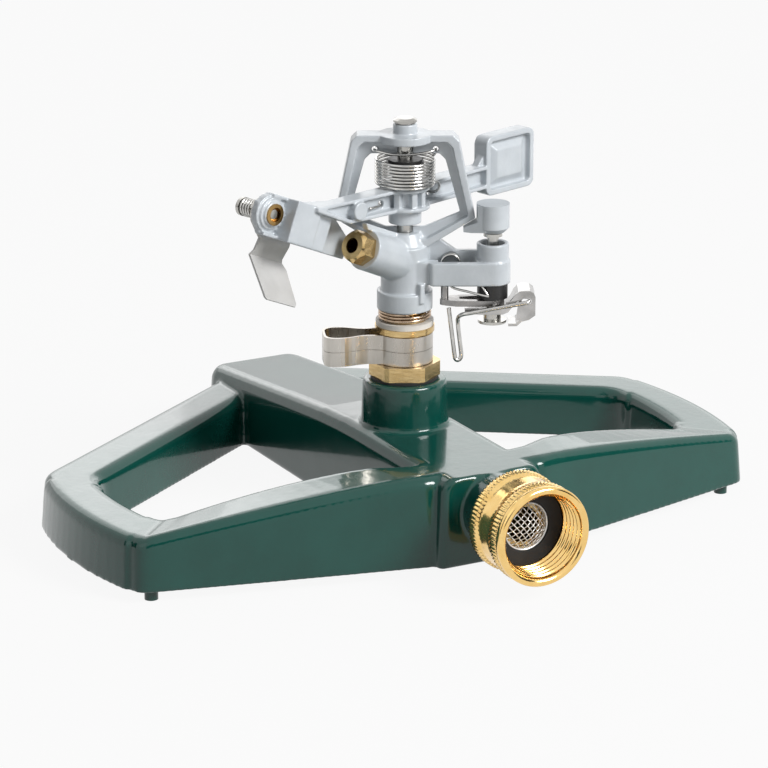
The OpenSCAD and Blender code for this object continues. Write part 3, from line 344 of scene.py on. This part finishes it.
GREEN = green_paint()
ZINC = zinc_paint()
GOLD = metal("polished_brass", (0.86, 0.56, 0.19), (0.93, 0.66, 0.28), 0.10, 0.20)
BRASS = metal("turned_brass", (0.52, 0.36, 0.15), (0.68, 0.50, 0.25), 0.12, 0.26, stretch=(1, 1, 6))
OLD_BRASS = metal("old_brass", (0.28, 0.17, 0.06), (0.46, 0.30, 0.12), 0.16, 0.3)
STEEL = metal("rolled_steel", (0.38, 0.37, 0.35), (0.54, 0.53, 0.50), 0.14, 0.3, scale=120)
BRIGHT = metal("bright_wire", (0.46, 0.455, 0.44), (0.62, 0.61, 0.59), 0.12, 0.24)
PLATE = metal("stamped_plate", (0.34, 0.335, 0.325), (0.56, 0.55, 0.54), 0.1, 0.26, scale=150)
MESH = metal("mesh_wire", (0.74, 0.73, 0.71), (0.88, 0.87, 0.85), 0.25, 0.4, metallic=0.7)
SHEET = metal("matte_sheet", (0.48, 0.475, 0.465), (0.58, 0.575, 0.565), 0.42, 0.55, scale=80, metallic=0.2)
BRONZE = metal("copper_wire", (0.36, 0.25, 0.17), (0.54, 0.42, 0.31), 0.16, 0.3)
BAND = metal("brushed_band", (0.38, 0.34, 0.29), (0.66, 0.63, 0.59), 0.2, 0.42, scale=70,
             stretch=(1, 1, 0.25))
DARK_STEEL = metal("dark_steel", (0.24, 0.235, 0.23), (0.36, 0.35, 0.34), 0.22, 0.38)
BLACK = plain("black_rubber", grey(0.008), grey(0.016), 0.5, 0.7)
# Black nylon for the arm and trip bushings. On the spring bushing the same black is painted shade and a
# painted dark reflection.
BLACK_NYLON_AND_SHADE = plain("black_nylon_and_painted_shade", grey(0.010), grey(0.02), 0.35, 0.5)
WHITE = plain("white_nylon", (0.66, 0.63, 0.58), (0.75, 0.72, 0.67), 0.35, 0.5)


# The base casting
WING_X, WING_FRONT, WING_REAR, WING_BOW, WING_H = 117, 34, 43, 5.5, 22
SIDE_W, REAR_W, HUB_H, BEAM_REAR_H = 16, 19, 35, 25
BEAM_HALF, BEAM_REAR, HUB_FRONT = 19, 117, 62
EDGE_R, DRAFT, WALL, FOOT_H = 4.0, 1.2, 3.2, 4.0
HUB_X, HUB_CORNER_Y = 22.5, 57
BOSS_TOP, BOSS_R, BOSS_TOP_R, BORE_R = 51, 15.9, 14.3, 10.45
NECK_R, NECK_END, DUCT_R = 12, 71.85, 8.4
FOOT_X, FOOT_FRONT, FOOT_REAR, POST_R = 110.5, -30.5, 38.5, 4.5


def v2(x, y):
    return Vector((x, y))


def mixed(a, b, t):
    return a + (b - a) * t


def corner(a, b, c, r, n):
    start, end = b + (a - b).normalized() * r, b + (c - b).normalized() * r
    return [mixed(mixed(start, b, i / n), mixed(b, end, i / n), i / n) for i in range(n + 1)]


def bowed(a, b, h, n):
    d = b - a
    out = v2(d.y, -d.x).normalized()
    shares = [i / (n + 1) for i in range(1, n + 1)]
    return [mixed(a, b, s) + out * h * 4 * s * (1 - s) for s in shares]


def bend(a, b, c, n):
    return [mixed(mixed(a, b, i / n), mixed(b, c, i / n), i / n) for i in range(n)]


def wing_sides():
    start, hub = v2(BEAM_HALF - 8, -HUB_CORNER_Y), v2(HUB_X, -HUB_CORNER_Y)
    front, rear = v2(WING_X, -WING_FRONT), v2(WING_X + 0.5, WING_REAR)
    end = v2(BEAM_HALF - 8, BEAM_REAR - 2)
    outer = [start, hub]
    outer += [mixed(hub, front, i / 15) for i in range(1, 14)]
    outer += corner(hub, front, rear, 5, 8)
    outer += bowed(front, rear, WING_BOW, 14)
    outer += corner(front, rear, end, 5, 8)
    outer += [mixed(rear, end, 0.08 + 0.92 * i / 12) for i in range(1, 13)]
    along = (rear - end).normalized()
    i_start, i_hub = v2(BEAM_HALF - 8, -41), v2(BEAM_HALF + 4, -39.5)
    mid = v2(60, -22)
    i_front = v2(WING_X - SIDE_W, -WING_FRONT + 16)
    i_rear = v2(WING_X - SIDE_W + 2.5, WING_REAR - 14)
    i_end = end + v2(-along.y, along.x) * -REAR_W - along * 3
    inner = [i_start, i_hub]
    inner += bend(mixed(i_hub, mid, 0.3), mid, mixed(i_front, mid, 0.2), 13)
    inner += corner(mid, i_front, i_rear, 7, 8)
    inner += bowed(i_front, i_rear, WING_BOW / 3, 14)
    inner += corner(i_front, i_rear, i_end, 8, 8)
    inner += [mixed(i_rear, i_end, 0.08 + 0.92 * i / 12) for i in range(1, 13)]
    return outer, inner


def wing_top(p):
    if p.y > -WING_FRONT:
        return WING_H
    along = min(1, max(0, (abs(p.x) - HUB_X) / (WING_X - HUB_X)))
    return HUB_H - (HUB_H - WING_H) * along ** 1.3


def wall_section(outer, inner, low, top, r, lean, steps=6):
    e, w = (inner - outer).normalized(), (inner - outer).length
    side = [(-lean, low)]
    side += [(r - r * math.cos(math.pi / 2 * i / steps), top - r + r * math.sin(math.pi / 2 * i / steps))
             for i in range(steps + 1)]
    points = side + [(w - x, z) for x, z in reversed(side)]
    return [(outer.x + e.x * x, outer.y + e.y * x, z) for x, z in points]


def wing_solid(name, inset, mirror):
    outer, inner = wing_sides()
    rings = []
    for o, i in zip(outer, inner):
        e = (i - o).normalized()
        low = FOOT_H - 1 if inset else FOOT_H
        top, r = wing_top(o) - inset, max(0.5, EDGE_R - inset)
        ring = wall_section(o + e * inset, i - e * inset, low, top, r, DRAFT)
        rings.append([(x * mirror, y, z) for x, y, z in ring])
    return loft_object(name, rings, RISER)


def beam_solid(name, inset):
    rings = []
    # Share of the beam's length from the hub, and of its drop to the rear
    stations = [(-1, 0), (-0.97, 0), (-0.5, 0), (0, 0), (0.12, 0.03), (0.25, 0.12), (0.5, 0.40),
                (0.8, 0.76), (0.96, 0.95), (0.985, 0.98), (1, 1)]
    for s, drop in stations:
        y = s * (HUB_FRONT - inset) if s < 0 else s * (BEAM_REAR - inset)
        top = HUB_H + (BEAM_REAR_H - HUB_H) * drop - inset
        half = BEAM_HALF - inset - {1: 2.0, 0.985: 0.6, -1: 1.5}.get(s, 0)
        low = FOOT_H - 1 if inset else FOOT_H
        rings.append(wall_section(v2(-half, y), v2(half, y), low, top, max(0.5, EDGE_R + 1 - inset), DRAFT))
    return loft_object(name, rings, RISER)


def cylinder(name, r, z0, z1, place, r2=None, steps=96):
    r2 = r if r2 is None else r2
    turns = [2 * math.pi * j / steps for j in range(steps)]
    rings = [[(q * math.cos(a), q * math.sin(a), z) for a in turns] for q, z in ((r, z0), (r2, z1))]
    return loft_object(name, rings, place)


def make_base():
    base = beam_solid("base_shell", 0)
    for side in (1, -1):
        boolean(base, wing_solid("w", 0, side), "UNION")
    boolean(base, beam_solid("h", WALL), "DIFFERENCE")
    for side in (1, -1):
        boolean(base, wing_solid("h", WALL, side), "DIFFERENCE")
    boolean(base, cylinder("boss", BOSS_R, 14.4, BOSS_TOP, RISER, r2=BOSS_TOP_R), "UNION")
    boolean(base, cylinder("neck", NECK_R, 0, NECK_END, INLET), "UNION")
    for x in (-FOOT_X, FOOT_X):
        for y in (FOOT_FRONT, FOOT_REAR):
            post = cylinder("post", POST_R, FOOT_H, 21, RISER @ move(x, y, 0), steps=32)
            boolean(base, post, "UNION")
    boolean(base, cylinder("bore", BORE_R, 33.7, 60, RISER), "DIFFERENCE")
    boolean(base, cylinder("duct", DUCT_R, 56, 90, INLET), "DIFFERENCE")
    cast(base, 0.7, 6)
    finish_piece(base, "base", GREEN, "base_casting", slot="green_paint")


make_base()


# Castings of the head and the arm
def make_casting(node, body):
    obj = copy_of(node, node + "_cast")
    cast(obj, 0.32, 4)
    finish_piece(obj, body, ZINC, node, slot="zinc_paint")


make_casting("head_body", "head")
make_casting("impulse_arm", "arm")

# Hose coupling: knurled outside, threaded inside
NUT_BACK, NUT_LEN, NUT_R = 73.5, 22.0, 17.0
NUT_BORE, GROOVE_R = 8.45, 16.2
THREAD_PITCH, THREAD_ROOT, THREAD_DEPTH = 2.2, 14.2, 1.0
THREAD_LOW, THREAD_HIGH = 5.0, 21.0
TEETH = 76
TOOTH_DEPTHS = (0.0, 0.42, 0.5, 0.42)


def make_nut():
    profile = [(NUT_BORE, 0), (14.8, 0), (15.6, 0.3), (GROOVE_R, 0.9)]
    knurl_back = len(profile)
    profile += [(NUT_R, z) for z in (1.4, 2.6, 4.0, 5.4)]
    knurl_end = len(profile)
    profile += [(GROOVE_R, 5.9), (GROOVE_R, 8), (GROOVE_R, 12.0), (16.25, 14.4)]
    knurl_two = len(profile)
    profile += [(NUT_R, z) for z in (14.8, 16, 17.4, 18.4)]
    knurl_two_end = len(profile)
    profile += [(16.5, 18.7), (16.6, 19.0), (16.95, 19.4), (NUT_R, 20.2), (16.95, 21.1),
                (16.6, 21.7), (16.0, NUT_LEN), (15.2, 21.95), (14.6, 21.5)]
    thread_start = len(profile)
    steps = 64
    thread_run = THREAD_HIGH - THREAD_LOW
    profile += [(THREAD_ROOT, THREAD_HIGH - thread_run * i / steps) for i in range(steps + 1)]
    thread_end = len(profile)
    profile += [(13.4, 4.4), (NUT_BORE, 4.4)]
    rings = []
    turns = 2 * TEETH
    for i in range(2 * turns):
        a = math.pi * i / turns
        tooth = TOOTH_DEPTHS[i % 4]
        ring = []
        for k, (r, z) in enumerate(profile):
            if knurl_back <= k < knurl_end or knurl_two <= k < knurl_two_end:
                r -= tooth
            if thread_start <= k < thread_end:
                wave = 0.5 + 0.5 * math.cos(2 * math.pi * z / THREAD_PITCH - a)
                fade = min(1, (z - THREAD_LOW) / 2, (THREAD_HIGH - z) / 1.2)
                r -= THREAD_DEPTH * wave ** 1.5 * max(0, fade)
            ring.append((r * math.cos(a), r * math.sin(a), z + NUT_BACK))
        rings.append(ring)
    obj = loft_object("coupling_shell", rings, INLET, closed_path=True)
    finish_piece(obj, "coupling", GOLD, "coupling_nut", slot="brass")


make_nut()

# Inlet screen: a dome of woven wire in a rim
SCREEN_R, DOME_RISE, SCREEN_Z = 8.4, 4.4, 81.3
SCREEN_WIRES, WIRE_R, WEAVE = 11, 0.17, 0.16
SCREEN = INLET @ move(0, 0, SCREEN_Z)


def make_screen():
    ball = (SCREEN_R ** 2 + DOME_RISE ** 2) / (2 * DOME_RISE)
    step = 2 * SCREEN_R / SCREEN_WIRES
    made = []
    for across in (0, 1):
        for i in range(SCREEN_WIRES):
            u = (i + 0.5) * step - SCREEN_R
            reach = math.sqrt(max(0.0, (SCREEN_R - 0.15) ** 2 - u * u))
            if reach < 1.5:
                continue
            path = []
            count = max(10, int(reach * 8))
            for k in range(count + 1):
                v = -reach + 2 * reach * k / count
                weave = WEAVE * math.cos(math.pi * (v / step) + math.pi * (i + across))
                z = math.sqrt(max(0.0, ball ** 2 - u * u - v * v)) + DOME_RISE - ball + weave
                path.append((u, v, z) if across else (v, u, z))
            made.append(tube("wire", path, WIRE_R, SCREEN @ turn(38, "Z"), sides=6))
    rim_profile = [(7.6, 0), (8.3, 0), (8.38, 0.4), (8.38, 1.6), (8.1, 2.0), (7.7, 1.7)]
    rim = lathe("rim", rim_profile, SCREEN)
    joined = join("inlet_mesh", [rim] + made)
    finish_piece(joined, "coupling", MESH, "inlet_screen", slot="wire_steel")


make_screen()

# Springs
def coil(r, turns, pitch, z0, a0, per=36, hand=1):
    out = []
    for i in range(round(turns * per) + 1):
        a = math.radians(a0) + hand * 2 * math.pi * i / per
        out.append((r * math.cos(a), r * math.sin(a), z0 + pitch * i / per))
    return out


def from_jet(x, y, z):
    return turn(JET_TURN, "Z") @ Vector((x, y, z))


def make_springs():
    low, high = LIMB_TOP + 0.6, BRIDGE_Z - 8.25
    turns = 8
    body = coil(9.85, turns, (high - low) / turns, low, 12, hand=-1)
    hole_x, hole_z = 11.7, LIMB_TOP - 4.6
    tail = [from_jet(*p) for p in (
        (19, 2, hole_z + 0.2), (15, 1.6, hole_z), (12.6, 1.2, hole_z), (hole_x, 0.2, hole_z),
        (hole_x - 0.8, -2, hole_z), (6, -5.9, hole_z), (0, -7.2, hole_z), (-6, -5.9, hole_z),
        (-hole_x + 0.8, -2, hole_z), (-hole_x, -0.6, hole_z), (-hole_x, 1.4, hole_z + 0.2),
        (-hole_x + 0.1, 3.6, hole_z + 0.9), (-hole_x + 0.6, 5.3, LIMB_TOP - 1.8),
        (-hole_x + 1.7, 5.9, LIMB_TOP - 0.1))]
    x, z = 10.3, BRIDGE_Z - 5.4
    end = [(x, 2.4, high + 1), (x, 1.6, z - 0.2), (x, 0, z), (x - 0.2, -1.7, z), (x - 2.2, -3, z - 0.4),
           (4, -3.8, z - 0.9), (0, -4, z - 1.2), (-4, -3.8, z - 1.1), (-x + 2.2, -3, z - 0.5),
           (-x + 0.2, -1.7, z - 0.1), (-x, 0, z), (-x, 2.2, z)]
    path = smooth_path(tail + [body[0]], 6)[:-1] + body + smooth_path([body[-1]] + end, 6)[1:]
    arm = tube("arm_coil", path, 0.46, HEAD, sides=10)
    finish_piece(arm, None, BRIGHT, "arm_spring", slot="wire_steel")
    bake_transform(arm)
    riser = tube("riser_coil", coil(8.6, 2.6, 1.14, SKIRT_Z - 3.4, 60), 0.5, HEAD, sides=10)
    finish_piece(riser, "head", BRONZE, "riser_spring", slot="bronze")
    feed = tube("feed_coil", coil(2.8, 4.25, 1.2, 3.85, 0, 24), 0.42, SCREW, sides=8)
    finish_piece(feed, "arm", BRIGHT, "diffuser_spring", slot="wire_steel")
    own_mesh(feed)


make_springs()

# Trip wire and toggle spring, as smooth wires
def make_trip_wire():
    foot_y, foot_z, slope = -7.3, CLIP_Z + 1.35, math.tan(math.radians(11))
    low, near, far, y = foot_z - 18.2, -10.5, -12.8, -3.6
    path = [(12.2, foot_y + 1.5, foot_z + 17.6 * slope), (11.9, foot_y + 0.4, foot_z + 17.3 * slope)]
    path += [(x, foot_y, foot_z + (x + 5.4) * slope) for x in (11.2, 8, 3, -2, -5.4)]
    path += [(-7.8, foot_y, foot_z - 0.45), (-9.6, foot_y + 0.3, foot_z - 0.8),
             (-11.1, foot_y + 1.4, foot_z - 1.7), (-11.7, y - 0.6, foot_z - 3.2),
             (-11.7, y, foot_z - 5), (-11.5, y, foot_z - 7.5),
             (near - 0.25, y, low + 4.5), (near, y, low + 2.2), (near - 0.32, y, low + 0.6),
             ((near + far) / 2, y, low), (far + 0.32, y, low + 0.6), (far, y, low + 2.2),
             (far - 0.3, y + 0.05, low + 4.5), (-14.5, y + 0.5, LEVER_Z - 3.4),
             (-14.8, y + 0.6, LEVER_Z - 0.85)]
    loop = tube("trip_loop", smooth_path(path, 6), 0.74, TRIP, sides=14)
    finish_piece(loop, "wire", BRIGHT, "trip_wire", slot="wire_steel")


def make_toggle():
    eye = lathe("eye", [(2.85, -1.6), (3.4, -1.6), (3.4, 1.6), (2.85, 1.6)],
                TRIP @ move(-14.2, 0, BRACKET_Z + 6.9) @ turn(90, "X"), steps=64)
    leg_path = [(-3.6, -4.6, BRACKET_Z - 0.2), (-2.2, -5.6, BRACKET_Z - 2.2),
                (-1.6, -5.9, BRACKET_Z - 3.4), (-2.4, -5.8, BRACKET_Z - 3.3),
                (-8, -4.6, BRACKET_Z - 2.2), (-13.4, -3.2, BRACKET_Z - 1.1),
                (-14.4, -2.0, BRACKET_Z + 0.6), (-13.4, -1.2, BRACKET_Z + 3.6)]
    leg = tube("leg", smooth_path(leg_path, 6), 0.42, TRIP)
    joined = join("toggle_wire", [eye, leg])
    finish_piece(joined, "head", BRIGHT, "toggle_spring", slot="wire_steel")


make_trip_wire()
make_toggle()

# Carried-over CAD nodes, each with its material and the width of its bevel
CAD_FINISHES = {
    "base_feet": (GREEN, 0.6), "inlet_nipple": (BRASS, 0.2), "inlet_washer": (BLACK, 0.4),
    "sleeve_gasket": (BLACK, 0.2), "bearing_sleeve": (BRASS, 0.5), "lower_collar": (BAND, 0.5),
    "upper_collar": (BAND, 0.5), "bearing_tube": (BRASS, 0.2), "thrust_washers": (WHITE, 0.1),
    "riser_washer": (WHITE, 0.3), "nozzle": (BRASS, 0.25), "fulcrum_pin": (STEEL, 0.5),
    # The spring bushing is painted black as painted shade: it stands for the shaded inside of the arm
    # spring and for the dark web mirrored in the bushing's top.
    "spring_bushing": (BLACK_NYLON_AND_SHADE, 0.15), "arm_bushings": (BLACK_NYLON_AND_SHADE, 0.1), "screw_insert": (OLD_BRASS, 0.15),
    "diffuser_screw": (STEEL, 0.25), "deflector_flap": (SHEET, 0.12), "flap_washer": (STEEL, 0.1),
    "trip_shaft": (STEEL, 0.3), "trip_striker": (ZINC, 0.5), "trip_bushing": (BLACK_NYLON_AND_SHADE, 0.2),
    "trip_arm": (DARK_STEEL, 0.2), "trip_clip": (PLATE, 0.25), "shaft_washer": (STEEL, 0.15),
}
for node, (material, width) in CAD_FINISHES.items():
    obj = nodes[node]
    obj.data.materials.clear()
    obj.data.materials.append(material)
    bevelled(obj, width)


# Stage, lights and camera
def seen_by(tree, first, *others):
    """One for rays of the named kinds, zero for all others."""
    rays = tree.nodes.new("ShaderNodeLightPath")
    seen = rays.outputs[first]
    for name in others:
        either = tree.nodes.new("ShaderNodeMath")
        either.operation = "MAXIMUM"
        tree.links.new(seen, either.inputs[0])
        tree.links.new(rays.outputs[name], either.inputs[1])
        seen = either.outputs["Value"]
    return seen


def stage_material():
    mat, tree, shader = new_material("pale_floor")
    shader.inputs["Base Color"].default_value = (0.5, 0.5, 0.5, 1)
    shader.inputs["Roughness"].default_value = 0.9
    shader.inputs["Specular IOR Level"].default_value = 0.1
    pale = tree.nodes.new("ShaderNodeEmission")
    pale.inputs["Strength"].default_value = 1.0
    share = tree.nodes.new("ShaderNodeMath")
    share.operation = "MULTIPLY"
    share.inputs[1].default_value = 0.92
    tree.links.new(seen_by(tree, "Is Camera Ray", "Is Glossy Ray"), share.inputs[0])
    both = tree.nodes.new("ShaderNodeMixShader")
    tree.links.new(share.outputs["Value"], both.inputs["Fac"])
    tree.links.new(shader.outputs["BSDF"], both.inputs[1])
    tree.links.new(pale.outputs["Emission"], both.inputs[2])
    tree.links.new(both.outputs["Shader"], tree.nodes["Material Output"].inputs["Surface"])
    return mat


SQUARE = ((-1, -1), (1, -1), (1, 1), (-1, 1))
FLOOR_HALF = 9000
floor = new_object("floor", [(x * FLOOR_HALF, y * FLOOR_HALF, 0) for x, y in SQUARE], [(0, 1, 2, 3)])
floor.data.materials.append(stage_material())

scene = bpy.context.scene


def make_world():
    """Dim white light, and plain white where the camera or the metal looks past the floor."""
    world = bpy.data.worlds.new("studio")
    scene.world = world
    world.use_nodes = True
    tree = world.node_tree
    background = tree.nodes["Background"]
    background.inputs["Color"].default_value = (1, 1, 1, 1)
    background.inputs["Strength"].default_value = 0.24
    white = tree.nodes.new("ShaderNodeBackground")
    white.inputs["Color"].default_value = (1, 1, 1, 1)
    white.inputs["Strength"].default_value = 1.0
    mix = tree.nodes.new("ShaderNodeMixShader")
    seen = seen_by(tree, "Is Camera Ray", "Is Glossy Ray", "Is Transmission Ray")
    tree.links.new(seen, mix.inputs["Fac"])
    tree.links.new(background.outputs["Background"], mix.inputs[1])
    tree.links.new(white.outputs["Background"], mix.inputs[2])
    tree.links.new(mix.outputs["Shader"], tree.nodes["World Output"].inputs["Surface"])


def area_light(name, place, target, size, power, size_y=None):
    """A lamp, with places and sizes in metres and the power in watts."""
    data = bpy.data.lights.new(name, "AREA")
    data.energy = power
    data.size = size
    if size_y:
        data.shape = "RECTANGLE"
        data.size_y = size_y
    obj = bpy.data.objects.new(name, data)
    obj.location = place
    obj.rotation_mode = "QUATERNION"
    obj.rotation_quaternion = (Vector(target) - Vector(place)).to_track_quat("-Z", "Y")
    scene.collection.objects.link(obj)


make_world()
area_light("key", (0.62, -1.14, 0.98), (0, 0, 0.07), 0.6, 27)
area_light("fill", (-1.1, -0.45, 0.8), (0, 0, 0.06), 0.7, 0.5)
area_light("back", (0.1, 1.3, 0.9), (0, 0, 0.05), 1.0, 3)
area_light("sky", (1.12, 2.1, 0.78), (0, 0, 0.05), 2.2, 5, 0.7)


def direction(az_deg, el_deg):
    """From the part towards an azimuth and an elevation."""
    a, e = math.radians(az_deg), math.radians(el_deg)
    return Vector((math.sin(a) * math.cos(e), -math.cos(a) * math.cos(e), math.sin(e)))


CAMERA_AZ, CAMERA_EL, CAMERA_DIST = -28.09, 17.85, 1265.2
LOOK = Vector((-11.56, RISER_Y, 50.5))
back = direction(CAMERA_AZ, CAMERA_EL)
camera_data = bpy.data.cameras.new("camera")
camera_data.sensor_width = 36
camera_data.lens = 173.8
camera_data.shift_x = 0.01208
camera_data.shift_y = -0.0022
camera_data.clip_end = 100
camera = bpy.data.objects.new("camera", camera_data)
camera.location = (LOOK + back * CAMERA_DIST) * MM
camera.rotation_mode = "QUATERNION"
camera.rotation_quaternion = (-back).to_track_quat("-Z", "Y")
scene.collection.objects.link(camera)
scene.camera = camera
scene.view_settings.view_transform = "Standard"


# Dark cards out of sight that give the metal its dark reflections
def dark_card(name, az_deg, el_deg, dist, w, h):
    a, out = math.radians(az_deg), direction(az_deg, el_deg)
    side = Vector((math.cos(a), math.sin(a), 0))
    up = side.cross(-out)
    centre = LOOK + out * dist
    corners = [centre + side * x * w / 2 + up * y * h / 2 for x, y in SQUARE]
    card = new_object(name, corners, [(0, 1, 2, 3)])
    mat, _, shader = new_material(name)
    shader.inputs["Base Color"].default_value = (0.02, 0.022, 0.024, 1)
    shader.inputs["Roughness"].default_value = 0.9
    card.data.materials.append(mat)
    card.visible_camera = False
    card.visible_diffuse = False
    card.visible_shadow = False


dark_card("card_front", CAMERA_AZ + 6, 10, 1700, 1000, 480)
dark_card("card_right", CAMERA_AZ + 82, 14, 900, 420, 520)
dark_card("card_left", CAMERA_AZ - 80, 14, 900, 260, 520)
